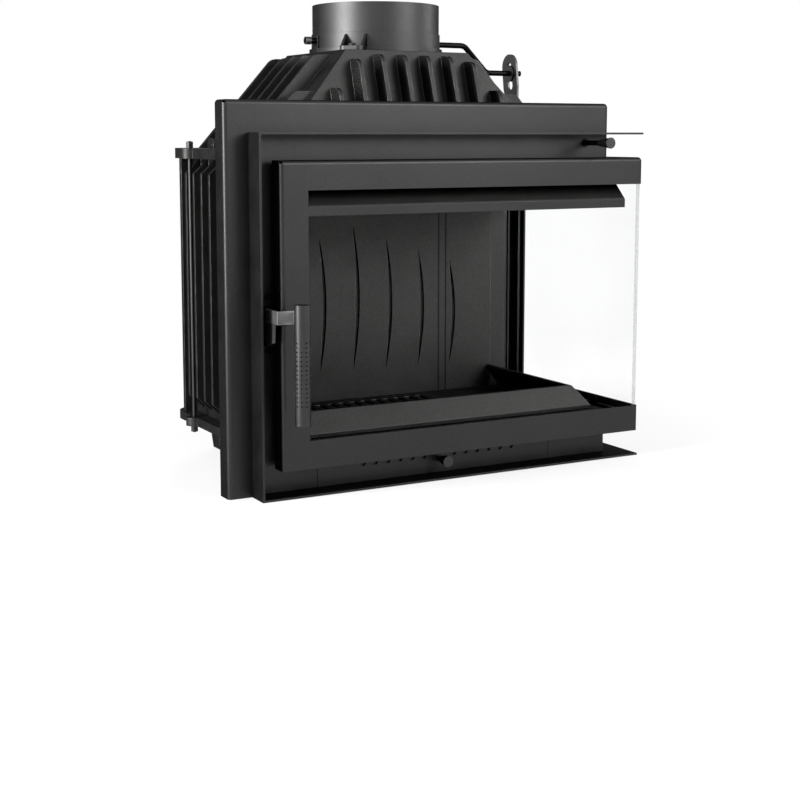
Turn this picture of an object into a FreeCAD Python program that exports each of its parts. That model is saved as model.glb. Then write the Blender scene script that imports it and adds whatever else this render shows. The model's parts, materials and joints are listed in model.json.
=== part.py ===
import FreeCAD, Part
import math
import os
from FreeCAD import Vector

# Corner fireplace insert with a two-sided glazed door, in millimetres, +Z up.
# It is drawn from the vertical corner where the front and right flange planes
# meet: x runs right, y runs back. "Out" is the distance in front of either plane,
# so a piece that turns the corner has one profile of (out, z) points.

# Face frame and shelf plates
FACE_W = 613.0            # corner to the outer face of the left side plate
FACE_D = 363.0            # corner to the outer face of the rear side plate
PROUD = 39.0              # door faces and shelf edges in front of the flange planes
SHEET = 3.0               # thickness of flange, shelves and lower panels
SHELF_TOP = 514.0
FLANGE_RISE = 45.0        # flange above the top shelf
FLANGE_LEFT = 36.0        # flange beyond the left side plate
FLANGE_REAR = 33.0        # flange beyond the rear side plate
FLANGE_RETURN = 30.0      # depth of the folded outer edges
FOLD_RADIUS = 6.0         # outside of a bend
CORNER_BLOCK = 10.0       # solid corner behind the relief hole
RELIEF_R = 2.5            # relief hole where two bends meet

# Door
HANDLE_GAP = 27.4         # left side plate to door
HINGE_GAP = 27.3          # rear side plate to door
KNOB_GAP = 35.3           # top shelf to door
BOTTOM_GAP = 37.5         # bottom shelf to door
STILE = 42.3
TOP_RAIL = 41.7
BOTTOM_RAIL = 40.5
DOOR_DEPTH = 28.0
DOOR_LIP = 14.6           # rear lip of the folded door frame
HINGE_STILE_LIP = 26.7
GLASS_T = 4.0
GLASS_LAP = 12.0          # glass behind the frame edge
GLASS_JOINT = 0.2         # butt joint of the two panes
CLIP_W = 20.0
CLIP_LAP = 10.0
CLIP_T = 2.5
CLIP_GAP = 0.5
CLIP_SHARES = (0.2, 0.75)  # clip places as shares of a pane's length
SEAL_R = 5.2
SEAL_SIDES = 12
SEAL_IN = 1.0             # rear rope inside the lip of the rear stile

# Hinge
HINGE_IN = 14.0           # hinge axis behind the outer door face
HINGE_FROM_END = 11.7     # hinge axis in front of the door's rear end
PIN_R = 4.0
PIN_CLEAR = 0.6           # door frame around the pin
PIN_END = 5.0             # bush beyond the pin end
FIT = 0.05                # radial clearance of running fits
BUSH_R = 7.0
BUSH_L = 30.0
ARM_T = 10.0
ARM_TOP_GAP = 4.3         # door top to upper arm
ARM_LOW_GAP = 14.5        # door bottom to lower arm
ARM_FOOT = 62.0           # length of an arm's foot along the flange
ARM_EYE = 11.0            # metal around the pin
ARM_TOE = 6.0
ARM_NECK = 25.0           # full width of an arm before the pin
COLLAR_R = 6.5
RUN_GAP = 0.3             # gap between faces that pass each other

# Fire opening and castings
OPENING_MARGIN = 3.0      # opening beyond the clear door opening
FOOT_H = 57.0
BASE_T = 13.0
LINTEL_H = 40.0
LINTEL_T = 17.0
POST_W = 32.0
POST_D = 26.6
WALL_T = 8.0
REAR_WALL_OVER = 20.0     # rear wall beyond the left wall
WALL_GAP = 3.0            # base and hood flange behind the flange sheet
FIN_T = 6.0
REAR_FIN = 30.0
REAR_FINS = 12
REAR_FIN_LEFT = 32.0      # first rear fin from the left wall
REAR_FIN_RIGHT = 52.0     # last rear fin from the rear right post
FIN_BEHIND = 2.0          # base and hood flange behind the rear fins
LEFT_FIN = 25.0
LEFT_FINS = 8
LEFT_FIN_CLEAR = 9.0      # tie lug to the nearest left fin
FIN_END = 10.0            # fins start this far from the wall ends
FIN_SLOPE = 0.9           # rise of the sloped fin ends per unit of depth
LINING_T = 25.0
LINING_H = 330.0
LEAVES = 7
LEAF_PITCH = 62.0
LEAF_H = 250.0
LEAF_FALL = 22.0          # each leaf shorter than the one nearer the middle
LEAF_W = 13.0
LEAF_INNER = 0.45         # inner bow of a leaf as a share of the outer one
LEAF_UP = 45.0            # leaf foot above the base
LEAF_DEPTH = 5.0
BAFFLE_T = 12.0
BAFFLE_FRONT = 100.0
BAFFLE_GAP = 1.0
HANGER_W = 30.0
HANGER_T = 5.0
HANGER_SHOE = 30.0
HANGER_SHOE_T = 6.0
HANGER_FRONT = 20.0      # baffle front to the first hanger
HANGER_REAR = 50.0       # opening end to the second hanger
HANGER_TOP = 10.0        # hanger below the wall top
FOOT_W = 57.0
FOOT_D = 42.0
FOOT_TAPER = 6.0
FOOT_INSET = 34.0
FOOT_RIGHT = 119.0
ROD_R = 3.0
ROD_END = 1.0             # rod beyond its nut
ROD_FRONT = 24.0          # front rod behind the base edge
ROD_LEFT = 10.0           # front rod left of the wall
ROD_SIDE = 23.5           # rear left rod left of the wall, between two fins
ROD_RIGHT = 14.0          # rear right rod inside the base edge
ROD_RIGHT_REAR = 18.0     # rear right rod behind the wall
LUG_R = 13.0
NUT_AF = 10.0
NUT_H = 10.0
SIDE_OVER = 24.0          # base and hood flange beyond the left wall
CORNER_RADIUS = 30.0

# Hood and flue collar
HOOD_FLANGE_T = 16.0
HOOD_H = 147.0            # flange top to plateau
FLUE_FROM_REAR = 148.4    # flue axis in front of the rear edge of the hood flange
HOOD_FRONT = 23.6         # front flange plane to the front fins at the foot
HOOD_REAR = 7.4           # rear edge of the hood flange to the rear fins
HOOD_SIDE = 38.5          # face edge to the side fins at the foot
FIN_STEP = 7.0            # fin tops below the plateau
SHOULDER_SIDE = 37.5      # fin tops beyond the plateau, left and right
SHOULDER_FRONT = 29.0
SHOULDER_REAR = 26.0
PLATEAU_X = 6.0           # plateau beyond the spigot, left and right
PLATEAU_Y = 5.5           # plateau beyond the spigot, front and rear
FIN_DEPTH = 30.0
SHOULDER_RADIUS = 18.0
HOOD_WALL = 8.0
LIFT_IN = 30.3            # lifting ear inside the left edge of the hood flange
LIFT_REAR = 99.0          # ear in front of the rear edge of the hood flange
LIFT_R = 14.0
LIFT_T = 8.0
LIFT_UP = 2.0             # ear centre above the hood flange
LIFT_HOLE_R = 3.0
HOOD_FIN_T = 6.0
FACE_FIN_END = 90.7       # hood foot's ends to the outermost front and rear fins
FACE_HOOD_FINS = 10
SIDE_FIN_FRONT = 71.0     # hood foot's front to the first side fin
SIDE_FIN_REAR = 57.5      # hood foot's rear to the last side fin
SIDE_HOOD_FINS = 6
HIP_CLEAR = 17.5          # plain strip between the fins and the hips
SIDE_HIP_CLEAR = 12.5
SPIGOT_R = 100.0          # 200 mm flue pipe
SPIGOT_L = 45.0           # straight length that the pipe slides over
SPIGOT_STEP = 1.5         # stop for the pipe
COLLAR_H = 74.0
COLLAR_WALL = 7.0
RING_W = 5.0
RING_H = 6.5
EAR_ANGLES = (45, 225)    # bolt ears, behind right and in front left
EAR_BOLT = 20.0           # ear bolt beyond the spigot
EAR_END = 31.0            # ear end beyond the spigot
EAR_HALF = 18.0
EAR_RADIUS = 8.0
BOLT_R = 4.0
BOLT_GAP = 0.2
BOLT_HEAD = 10.4
BOLT_HEAD_H = 4.0
GUSSET_H = 22.0
GUSSET_T = 4.0
GUSSET_SINK = 3.0         # gusset and ear into the collar wall
BEARING_OUT = 5.5         # shaft bearing beyond the spigot
BEARING_W = 14.0
BEARING_UP = 8.0          # shaft bearing above the shaft axis

# Flue damper and its pull rod
DAMPER_CLEAR = 2.0
DAMPER_T = 5.0
DAMPER_RIB_W = 18.0
DAMPER_RIB_H = 15.3
DAMPER_RIB_END = 3.0
SHAFT_R = 4.5
SHAFT_UP = 18.0           # damper axis above the plateau
STUB = 23.0               # shaft beyond the collar on the left
CRANK_STRAIGHT = 46.0     # straight end of the crank before the lever
CRANK_RUN = 56.0
CRANK_BACK = 20.4
CRANK_DOWN = 42.0
CRANK_TAIL = 17.0         # crank end past the lever
CRANK_BEND = 20.0
PULL_X = 45.0             # pull rod left of the corner
PULL_CLEAR = 12.0         # trimmed side fins to the pull rod axis
PULL_UP = 8.0             # pull rod above the hood flange
PULL_R = 4.0
KNOB_R = 8.5
KNOB_L = 28.0
KNOB_OUT = 67.5
KNOB_NECK_R = 5.0
END_BLOCK = 12.0
LEVER_BOLT_R = 3.0
LEVER_BOLT_GAP = 0.1
LEVER_BOLT_HEAD = 5.4
GUIDE_R = 7.0
GUIDE_COLLAR = 2.0
GUIDE_RIM = 2.0
GUIDE_L = 20.0
LEVER_T = 4.0
LEVER_R = 21.0            # half width of the slotted head
LEVER_FOOT_R = 7.0
SLOT_R = 7.0
SLOT_ABOVE = 18.0
SLOT_BELOW = 28.0
WASHER_R = 13.7
WASHER_T = 2.0
STUB_RING_R = 6.0
STUB_RING_T = 9.0

# Air register
SLOT_PITCH = 20.7
SLOT_FIRST = 26.0
SLOTS_PER_SIDE = 6
SLOT_W = 8.0
SLOT_Z = 26.0
SLOT_H = 14.0
REGISTER_TRAVEL = 10.35
REGISTER_T = 2.0
REGISTER_EDGE = 7.0
TOE_W = 31.8              # flange foot between the opening and the panel seam
SEAM_RIGHT = 200.0        # panel seam right of the register centre
AIR_KNOB_OUT = 28.0
AIR_KNOB_Z = 23.6
AIR_STEM_R = 3.0
AIR_STEM_L = 6.0
GUIDE_T = 5.0
GUIDE_H = 4.0
GUIDE_LAP = 3.0

# Fire bed
GRATE_W = 248.0
GRATE_FRONT = 99.6        # front flange plane to the grate
GRATE_REAR = 19.4         # grate to the rear lining
GRATE_GAP = 1.0
GRATE_RIM = 16.0
GRATE_T = 10.0
GRATE_BARS = 11
GRATE_SLOT = 10.0
LEDGE = 10.0
LEDGE_T = 5.0
PAN_GAP = 4.0
BOX_T = 2.0
BOX_FLOOR = 6.0
RETAINER_IN = 15.0
RETAINER_FOOT = 7.0
RETAINER_H = 38.0
RETAINER_LEAN = 22.0
RETAINER_TOE = 8.0
RETAINER_T = 6.0
RETAINER_LIP = 4.0
RETAINER_HEEL = 5.0
DEFLECTOR_T = 2.5
DEFLECTOR_DROP = 37.0
DEFLECTOR_LIP = 13.0
DEFLECTOR_OUT = 20.0
DEFLECTOR_TOP_OUT = 9.7
DEFLECTOR_IN = 18.0
DEFLECTOR_END = 12.0

# Handle and latch
PIVOT_IN = 15.0           # handle pivot behind the door face
PIVOT_Z = 261.0
PIVOT_R = 5.0
SPACER_R = 8.0
BAR_T = 4.0
BAR_H = 18.3
BAR_FRONT = 54.0          # front leg of the bar in front of the flange plane
NECK_IN = 6.5             # bar's last leg right of the tube axis
TUBE_R = 11.0
TUBE_WALL = 1.6
TUBE_OUT = 100.0
TUBE_IN = 3.4             # tube axis right of the door edge
TUBE_L = 165.0
TUBE_ABOVE = 22.0         # tube top above the pivot
HOLE_R = 1.25
HOLE_PITCH = 6.2
HOLES = 15
HOLE_START = 51.0
HOLE_LINES = 5
HOLE_TURN = 21.0          # degrees from the door's direction to the first holes
CAP_T = 3.0
STRIKE_PIN_R = 3.0
STRIKE_DROP = 33.0
STRIKE_OUT = 8.0
STRIKE_H = 53.0
STRIKE_W = 23.5
LATCH_GAP = 0.5
PIVOT_HEAD_R = 6.5
PIVOT_HEAD_T = 3.0
BAR_TAIL = 9.0            # bar behind the pivot
STRIKE_BELOW = 8.0        # strike plate below its pin
STRIKE_BOLT_R = 5.0
STRIKE_BOLT_H = 3.5
STRIKE_BOLT_END = 12.0
STRIKE_SCREW_R = 3.2
STRIKE_BOLT_IN = 7.0      # bolts inside the right edge of the strike plate
STRIKE_EDGE = 7.5         # side plate to strike plate
CHEEK_GAP = 1.3
CHEEK_H = 12.0
BAR_GAP = 13.0            # side plate to bar
HOOK_HEEL = 19.0          # hook in front of the pivot
HOOK_LEAD = 2.5
HOOK_RISE = 4.0
HOOK_TIP = 5.5
HOOK_BELLY = 7.5
HOOK_WAIST = 3.0
HOOK_GAP = 1.0            # hook to strike plate

# Heights and places that follow from the sizes above
SHELF_UNDER = SHELF_TOP - SHEET
FLANGE_TOP = SHELF_TOP + FLANGE_RISE
DOOR_LEFT = FACE_W - SHEET - HANDLE_GAP
DOOR_REAR = FACE_D - SHEET - HINGE_GAP
DOOR_TOP = SHELF_UNDER - KNOB_GAP
DOOR_BOTTOM = SHEET + BOTTOM_GAP
DOOR_BACK = PROUD - DOOR_DEPTH
PANE_LEFT = DOOR_LEFT - STILE
PANE_REAR = DOOR_REAR - STILE
PANE_TOP = DOOR_TOP - TOP_RAIL
PANE_BOTTOM = DOOR_BOTTOM + BOTTOM_RAIL
OPENING_LEFT = PANE_LEFT + OPENING_MARGIN
OPENING_REAR = PANE_REAR + OPENING_MARGIN
BASE_TOP = FOOT_H + BASE_T
PANEL_TOP = BASE_TOP + SHEET
WALL_TOP = PANE_TOP + LINTEL_H
HOOD_FOOT = WALL_TOP + HOOD_FLANGE_T
PLATEAU_Z = HOOD_FOOT + HOOD_H
WALL_LEFT = OPENING_LEFT + POST_W
WALL_REAR = OPENING_REAR + POST_D
BASE_REAR = WALL_REAR + REAR_FIN + FIN_BEHIND
BASE_FRONT = SHEET + WALL_GAP
LINING_FACE = WALL_REAR - WALL_T - LINING_T
FLUE_X = -FACE_W / 2
FLUE_SETBACK = BASE_REAR - FLUE_FROM_REAR
PLATEAU_W = 2 * (SPIGOT_R + PLATEAU_X)
PLATEAU_D = 2 * (SPIGOT_R + PLATEAU_Y)
FIN_SIDE = FACE_W / 2 - HOOD_SIDE
FIN_FRONT = FLUE_SETBACK - HOOD_FRONT
FIN_REAR = FLUE_FROM_REAR - HOOD_REAR
SEAM_LEFT = -OPENING_LEFT + TOE_W
SHAFT_Z = PLATEAU_Z + SHAFT_UP
HINGE = Vector(PROUD - HINGE_IN, DOOR_REAR - HINGE_FROM_END, 0)
ARM_TOP_Z = DOOR_TOP + ARM_TOP_GAP
ARM_LOW_Z = DOOR_BOTTOM - ARM_LOW_GAP - ARM_T
PULL_Z = HOOD_FOOT + PULL_UP
LEVER_X = -PULL_X + PULL_R
CRANK_PIN = Vector(0, FLUE_SETBACK + CRANK_BACK, SHAFT_Z - CRANK_DOWN)
LEVER_LEAN = 0.13         # slotted lever leans back by this much per unit of height
LEVER_FOOT_Y = CRANK_PIN.y - LEVER_LEAN * (CRANK_PIN.z - PULL_Z)
LEFT_FIN_FIRST = BASE_FRONT + ROD_FRONT + LUG_R + LEFT_FIN_CLEAR
LEFT_FIN_LAST = SHEET + LINTEL_T + WALL_REAR - WALL_T - LEFT_FIN_FIRST
LEFT_FIN_PITCH = (LEFT_FIN_LAST - LEFT_FIN_FIRST) / (LEFT_FINS - 1)
ROD_SPOTS = [
    (-WALL_LEFT - ROD_SIDE, LEFT_FIN_LAST - LEFT_FIN_PITCH / 2),
    (-WALL_LEFT - ROD_LEFT, BASE_FRONT + ROD_FRONT),
    (-BASE_FRONT - ROD_RIGHT, WALL_REAR + ROD_RIGHT_REAR),
]
PIVOT_Y = -(PROUD - PIVOT_IN)
BAR_X = -FACE_W + SHEET + BAR_GAP
TUBE_X = -DOOR_LEFT + TUBE_IN
TUBE_TOP = PIVOT_Z + TUBE_ABOVE
ORIGIN = Vector(
    (PROUD - FACE_W - FLANGE_LEFT) / 2,
    (FACE_D + FLANGE_REAR - TUBE_OUT - TUBE_R) / 2,
    0,
)


def box(x0, x1, y0, y1, z0, z1):
    return Part.makeBox(x1 - x0, y1 - y0, z1 - z0, Vector(x0, y0, z0))


def rod(x, y, z, radius, length, axis):
    return Part.makeCylinder(radius, length, Vector(x, y, z), Vector(*axis))


def prism(points, travel):
    wire = Part.makePolygon(list(points) + [points[0]])
    return Part.Face(wire).extrude(travel)


def upright(points, z0, z1):
    return prism([Vector(x, y, z0) for x, y in points], Vector(0, 0, z1 - z0))


def ruled(start, end):
    wires = [Part.makePolygon(list(ring) + [ring[0]]) for ring in (start, end)]
    solid = Part.makeLoft(wires, True, True)
    if solid.Volume < 0:
        solid.reverse()
    return solid


def front_run(profile, left):
    start = [Vector(-left, -out, z) for out, z in profile]
    mitre = [Vector(out, -out, z) for out, z in profile]
    return ruled(start, mitre)


def side_run(profile, rear):
    mitre = [Vector(out, -out, z) for out, z in profile]
    end = [Vector(out, rear, z) for out, z in profile]
    return ruled(mitre, end)


def corner_run(profile, left, rear):
    return front_run(profile, left).fuse(side_run(profile, rear)).removeSplitter()


def strip(out0, out1, z0, z1):
    return [(out0, z0), (out1, z0), (out1, z1), (out0, z1)]


def join(solids):
    first, rest = solids[0], list(solids[1:])
    return first.multiFuse(rest).removeSplitter() if rest else first


def rounded(solid, radius, wanted):
    edges = [edge for edge in solid.Edges if wanted(edge)]
    return solid.makeFillet(radius, edges)


def lies_on(edge, **planes):
    return all(abs(getattr(vertex, axis) - value) < 1e-4
               for vertex in edge.Vertexes for axis, value in planes.items())


def relief(x, y, z, axis):
    start = Vector(x, y, z) - Vector(*axis) * FOLD_RADIUS
    return Part.makeCylinder(RELIEF_R, 4 * FOLD_RADIUS, start, Vector(*axis))


def corner_block(x, y, z, axis):
    spots = [(value, value + sense * (SHEET + CORNER_BLOCK)) for value, sense in zip((x, y, z), axis)]
    return box(*[value for pair in spots for value in sorted(pair)])


def hexagon(x, y, z, across, height):
    corner = across / math.sqrt(3)
    angles = [math.radians(60 * step) for step in range(6)]
    ring = [Vector(x + corner * math.cos(a), y + corner * math.sin(a), z) for a in angles]
    return prism(ring, Vector(0, 0, height))


def frustum(low, high, z0, z1):
    def ring(rect, z):
        x0, x1, y0, y1 = rect
        return [Vector(x0, y0, z), Vector(x1, y0, z), Vector(x1, y1, z), Vector(x0, y1, z)]
    return ruled(ring(low, z0), ring(high, z1))


def centred(count, pitch):
    return [pitch * (index - (count - 1) / 2) for index in range(count)]


def spread(first, last, count):
    return [first + (last - first) * index / (count - 1) for index in range(count)]


# Flange, shelves and lower panels
def flange_left():
    left = -FACE_W - FLANGE_LEFT
    face = [(left, 0), (-OPENING_LEFT, 0), (-OPENING_LEFT, SHEET), (left, SHEET)]
    sheet = upright(face, 0, FLANGE_TOP)
    edge = box(left, left + SHEET, SHEET, FLANGE_RETURN, 0, FLANGE_TOP)
    lid = box(left + SHEET, -OPENING_LEFT, SHEET, FLANGE_RETURN, FLANGE_TOP - SHEET, FLANGE_TOP)
    toe = box(-OPENING_LEFT, SEAM_LEFT, 0, SHEET, SHEET, PANEL_TOP)
    frame = join([sheet, edge, lid, toe, corner_block(left, 0, FLANGE_TOP, (1, 1, -1))])
    frame = rounded(frame, FOLD_RADIUS,
                    lambda edge: lies_on(edge, X=left, Y=0) or lies_on(edge, Y=0, Z=FLANGE_TOP)
                    or lies_on(edge, X=left, Z=FLANGE_TOP))
    return frame.cut(relief(left, 0, FLANGE_TOP, (1, 1, -1)))


def flange_top():
    profile = [(0, PANE_TOP), (0, FLANGE_TOP), (-FLANGE_RETURN, FLANGE_TOP)]
    profile += [(-FLANGE_RETURN, FLANGE_TOP - SHEET), (-SHEET, FLANGE_TOP - SHEET)]
    profile += [(-SHEET, PANE_TOP)]
    frame = corner_run(profile, OPENING_LEFT, OPENING_REAR)
    frame = rounded(frame, FOLD_RADIUS,
                    lambda edge: lies_on(edge, X=0, Y=0) or lies_on(edge, Y=0, Z=FLANGE_TOP)
                    or lies_on(edge, X=0, Z=FLANGE_TOP))
    return frame.cut(rod(-PULL_X, -1, PULL_Z, GUIDE_R + FIT, SHEET + 2, (0, 1, 0)))


def flange_rear():
    rear = FACE_D + FLANGE_REAR
    sheet = box(-SHEET, 0, OPENING_REAR, rear, 0, FLANGE_TOP)
    edge = box(-FLANGE_RETURN, -SHEET, rear - SHEET, rear, 0, FLANGE_TOP)
    lid = box(-FLANGE_RETURN, -SHEET, OPENING_REAR, rear - SHEET, FLANGE_TOP - SHEET, FLANGE_TOP)
    frame = join([sheet, edge, lid, corner_block(0, rear, FLANGE_TOP, (-1, -1, -1))])
    frame = rounded(frame, FOLD_RADIUS,
                    lambda edge: lies_on(edge, X=0, Y=rear) or lies_on(edge, X=0, Z=FLANGE_TOP)
                    or lies_on(edge, Y=rear, Z=FLANGE_TOP))
    return frame.cut(relief(0, rear, FLANGE_TOP, (-1, -1, -1)))


def shelf(z):
    return corner_run(strip(0, PROUD, z, z + SHEET), FACE_W, FACE_D)


def left_side_plate():
    return box(-FACE_W, -FACE_W + SHEET, -PROUD, 0, SHEET, SHELF_UNDER)


def rear_side_plate():
    return box(0, PROUD, FACE_D - SHEET, FACE_D, SHEET, SHELF_UNDER)


def panel_profile():
    back = RETAINER_IN - RUN_GAP
    return [(0, SHEET), (0, PANEL_TOP), (-back, PANEL_TOP), (-back, BASE_TOP),
            (-SHEET, BASE_TOP), (-SHEET, SHEET)]


def slot_centres():
    steps = [SLOT_FIRST + SLOT_PITCH * index for index in range(SLOTS_PER_SIDE)]
    return sorted([FLUE_X - step for step in steps] + [FLUE_X + step for step in steps])


def air_slots(y0, y1):
    half = SLOT_W / 2
    low = SLOT_Z + half
    high = SLOT_Z + SLOT_H - half
    slots = []
    for x in slot_centres():
        middle = box(x - half, x + half, y0, y1, low, high)
        ends = [rod(x, y0, z, half, y1 - y0, (0, 1, 0)) for z in (low, high)]
        slots.append(join([middle] + ends))
    return slots


def air_panel():
    ring = [Vector(SEAM_LEFT, -out, z) for out, z in panel_profile()]
    panel = prism(ring, Vector(FLUE_X + SEAM_RIGHT - SEAM_LEFT, 0, 0))
    half = AIR_STEM_R + LATCH_GAP
    way = box(FLUE_X - half, FLUE_X + REGISTER_TRAVEL + half, -1, SHEET + 1,
              AIR_KNOB_Z - half, AIR_KNOB_Z + half)
    return panel.cut(Part.makeCompound(air_slots(-1, SHEET + 1) + [way]))


def lower_corner_panel():
    return corner_run(panel_profile(), -FLUE_X - SEAM_RIGHT, OPENING_REAR)


# Firebox castings
def tie_lugs(z0, z1):
    return [rod(x, y, z0, LUG_R, z1 - z0, (0, 0, 1)) for x, y in ROD_SPOTS]


def tie_holes(z0, z1):
    return [rod(x, y, z0 - 1, ROD_R + LATCH_GAP, z1 - z0 + 2, (0, 0, 1)) for x, y in ROD_SPOTS]


def casting_plate(right, front, z0, z1):
    left = -WALL_LEFT - SIDE_OVER
    plate = box(left, right, front, BASE_REAR, z0, z1)
    return rounded(plate, CORNER_RADIUS, lambda edge: lies_on(edge, X=left, Y=BASE_REAR))


def grate_box(margin, z0, z1):
    half = GRATE_W / 2 + margin
    return box(FLUE_X - half, FLUE_X + half,
               GRATE_FRONT - margin, LINING_FACE - GRATE_REAR + margin, z0, z1)


def base_casting():
    plate = join([casting_plate(-SHEET, SHEET, FOOT_H, BASE_TOP)] + tie_lugs(FOOT_H, BASE_TOP))
    recess = grate_box(GRATE_GAP, FOOT_H + LEDGE_T, BASE_TOP + 1)
    throat = grate_box(-LEDGE, FOOT_H - 1, BASE_TOP + 1)
    return plate.cut(Part.makeCompound([recess.fuse(throat)] + tie_holes(FOOT_H, BASE_TOP)))


def feet():
    solids = []
    for x in (-WALL_LEFT + FOOT_INSET, -FOOT_RIGHT):
        for y in (SHEET + FOOT_INSET, BASE_REAR - FOOT_D):
            top = (x, x + FOOT_W, y, y + FOOT_D)
            low = grown(top, -FOOT_TAPER)
            solids.append(frustum(low, top, 0, FOOT_H))
    return Part.makeCompound(solids)


def rear_wall():
    left = -WALL_LEFT - REAR_WALL_OVER
    plate = box(left, -POST_W - SHEET, WALL_REAR - WALL_T, WALL_REAR, BASE_TOP, WALL_TOP)
    first = -WALL_LEFT + REAR_FIN_LEFT
    last = -POST_W - SHEET - REAR_FIN_RIGHT
    solids = [plate]
    for x in spread(first, last, REAR_FINS):
        ring = fin_ring(WALL_REAR, REAR_FIN)
        points = [Vector(x - FIN_T / 2, y, z) for y, z in ring]
        solids.append(prism(points, Vector(FIN_T, 0, 0)))
    return join(solids)


def fin_ring(face, depth):
    low = BASE_TOP + FIN_END
    high = WALL_TOP
    slope = abs(depth) * FIN_SLOPE
    return [(face, low), (face + depth, low + slope), (face + depth, high - slope), (face, high)]


def left_wall():
    front = SHEET + LINTEL_T
    rear = WALL_REAR - WALL_T
    plate = box(-WALL_LEFT, -WALL_LEFT + WALL_T, front, rear, BASE_TOP, WALL_TOP)
    solids = [plate]
    for y in spread(LEFT_FIN_FIRST, LEFT_FIN_LAST, LEFT_FINS):
        ring = fin_ring(-WALL_LEFT, -LEFT_FIN)
        points = [Vector(x, y - FIN_T / 2, z) for x, z in ring]
        solids.append(prism(points, Vector(0, FIN_T, 0)))
    return join(solids)


def front_left_post():
    return box(-WALL_LEFT, -OPENING_LEFT, SHEET, SHEET + LINTEL_T, BASE_TOP, WALL_TOP)


def rear_right_post():
    return box(-POST_W - SHEET, -SHEET, OPENING_REAR, WALL_REAR, BASE_TOP, WALL_TOP)


def lintel():
    profile = strip(-SHEET - LINTEL_T, -SHEET, PANE_TOP, WALL_TOP)
    return corner_run(profile, OPENING_LEFT, OPENING_REAR)


def tie_rods():
    low = FOOT_H - NUT_H - ROD_END
    high = HOOD_FOOT + NUT_H + ROD_END
    return Part.makeCompound([rod(x, y, low, ROD_R, high - low, (0, 0, 1)) for x, y in ROD_SPOTS])


def tie_rod_nuts():
    nuts = []
    for x, y in ROD_SPOTS:
        for z in (FOOT_H - NUT_H, HOOD_FOOT):
            bore = rod(x, y, z - 1, ROD_R + FIT, NUT_H + 2, (0, 0, 1))
            nuts.append(hexagon(x, y, z, NUT_AF, NUT_H).cut(bore))
    return Part.makeCompound(nuts)


# Linings, baffle and fire bed
def leaf(x, z, width, height):
    bottom = Vector(x, 0, z)
    top = Vector(x, 0, z + height)
    right = Part.Arc(bottom, Vector(x + width, 0, z + height * 0.5), top).toShape()
    inner = Vector(x + width * LEAF_INNER, 0, z + height * 0.5)
    left = Part.Arc(top, inner, bottom).toShape()
    return Part.Face(Part.Wire([right, left]))


def rear_lining():
    slab = box(-WALL_LEFT + WALL_T, -POST_W - SHEET, LINING_FACE, LINING_FACE + LINING_T,
               BASE_TOP, BASE_TOP + LINING_H)
    cuts = []
    for index, offset in enumerate(centred(LEAVES, LEAF_PITCH)):
        height = LEAF_H - LEAF_FALL * abs(index - LEAVES // 2)
        lens = leaf(FLUE_X + offset, BASE_TOP + LEAF_UP, LEAF_W, height)
        lens.translate(Vector(0, LINING_FACE - 1, 0))
        cuts.append(lens.extrude(Vector(0, LEAF_DEPTH + 1, 0)))
    return slab.cut(Part.makeCompound(cuts))


def left_lining():
    x0 = -WALL_LEFT + WALL_T
    return box(x0, x0 + LINING_T, SHEET + LINTEL_T, LINING_FACE, BASE_TOP, BASE_TOP + LINING_H)


def smoke_baffle():
    z = BASE_TOP + LINING_H
    left = -WALL_LEFT + WALL_T + BAFFLE_GAP
    right = -POST_W - SHEET - BAFFLE_GAP
    return box(left, right, BAFFLE_FRONT, WALL_REAR - WALL_T - BAFFLE_GAP, z, z + BAFFLE_T)


def baffle_hangers():
    z = BASE_TOP + LINING_H
    right = -SHEET - LINTEL_T
    solids = []
    low = z - HANGER_SHOE_T
    for y in (BAFFLE_FRONT + HANGER_FRONT, OPENING_REAR - HANGER_REAR):
        plate = box(right - HANGER_T, right, y, y + HANGER_W, low, WALL_TOP - HANGER_TOP)
        shoe = box(right - HANGER_SHOE, right - HANGER_T, y, y + HANGER_W, low, z)
        solids.append(join([plate, shoe]))
    return Part.makeCompound(solids)


def grate():
    plate = grate_box(0, FOOT_H + LEDGE_T, FOOT_H + LEDGE_T + GRATE_T)
    pitch = (GRATE_W - 2 * LEDGE) / GRATE_BARS
    bounds = plate.BoundBox
    front = bounds.YMin + GRATE_RIM
    rear = bounds.YMax - GRATE_RIM
    cuts = []
    for offset in centred(GRATE_BARS, pitch):
        x = FLUE_X + offset
        cuts.append(box(x - GRATE_SLOT / 2, x + GRATE_SLOT / 2, front, rear,
                        bounds.ZMin - 1, bounds.ZMax + 1))
    return plate.cut(Part.makeCompound(cuts))


def ash_box():
    outer = grate_box(0, BOX_FLOOR, FOOT_H)
    inner = grate_box(-BOX_T, BOX_FLOOR + BOX_T, FOOT_H + 1)
    return outer.cut(inner)


def ash_pan():
    margin = -LEDGE - PAN_GAP
    floor = BOX_FLOOR + BOX_T
    outer = grate_box(margin, floor, FOOT_H - PAN_GAP)
    inner = grate_box(margin - BOX_T, floor + BOX_T, FOOT_H)
    return outer.cut(inner)


def log_retainer():
    foot = RETAINER_IN
    high = BASE_TOP + RETAINER_H
    lean = foot + RETAINER_LEAN
    heel = foot + RETAINER_FOOT
    back = lean + RETAINER_T
    profile = [(-foot, BASE_TOP), (-foot, BASE_TOP + RETAINER_TOE), (-lean, high), (-back, high)]
    profile += [(-back, high - RETAINER_LIP), (-heel, BASE_TOP + RETAINER_HEEL), (-heel, BASE_TOP)]
    return corner_run(profile, WALL_LEFT - WALL_T - LINING_T, LINING_FACE)


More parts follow.
